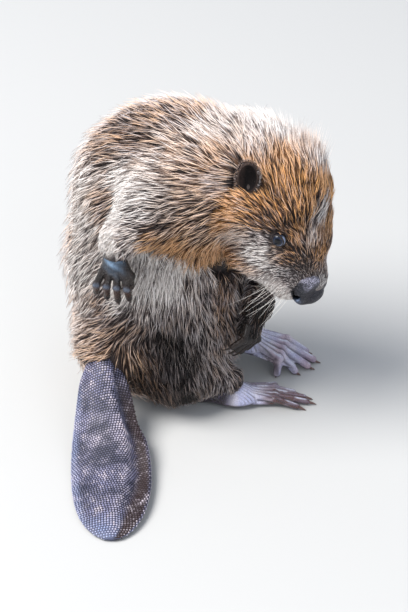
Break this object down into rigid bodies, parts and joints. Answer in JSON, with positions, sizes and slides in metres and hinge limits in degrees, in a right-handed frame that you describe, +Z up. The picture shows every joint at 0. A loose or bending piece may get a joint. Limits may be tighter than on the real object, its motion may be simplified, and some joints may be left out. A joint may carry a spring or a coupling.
{
  "type": "beaver",
  "caption": "Young beaver, life size, sitting upright with its head bowed, a hand on its flank and its flat tail laid out on the floor.",
  "frame": {"origin": "on the floor under the pelvis, in the small flat that the animal sits on", "axes": "+Z up; the trunk faces -Y; +X is the animal's left; the tail lies out towards -X and the head is bowed and turned to the animal's right"},
  "size_m": [0.2434, 0.184, 0.2149],
  "materials": {
    "coat": "matte",
    "ear": "matte",
    "eye": "gloss",
    "bare_skin": "satin",
    "foot_skin": "satin",
    "tail_scales": "satin"
  },
  "bodies": {
    "root": {"head": "coat", "neck": "coat", "chest": "coat", "belly": "coat", "arm_right": "coat", "arm_left": "coat", "thigh_right": "coat", "thigh_left": "coat", "ear_right": "ear", "ear_left": "ear", "eye_right": "eye", "eye_left": "eye", "nose": "bare_skin", "hand_right": "bare_skin", "hand_left": "bare_skin", "foot_right": "foot_skin", "foot_left": "foot_skin", "tail": "tail_scales"}
  },
  "joints": []
}
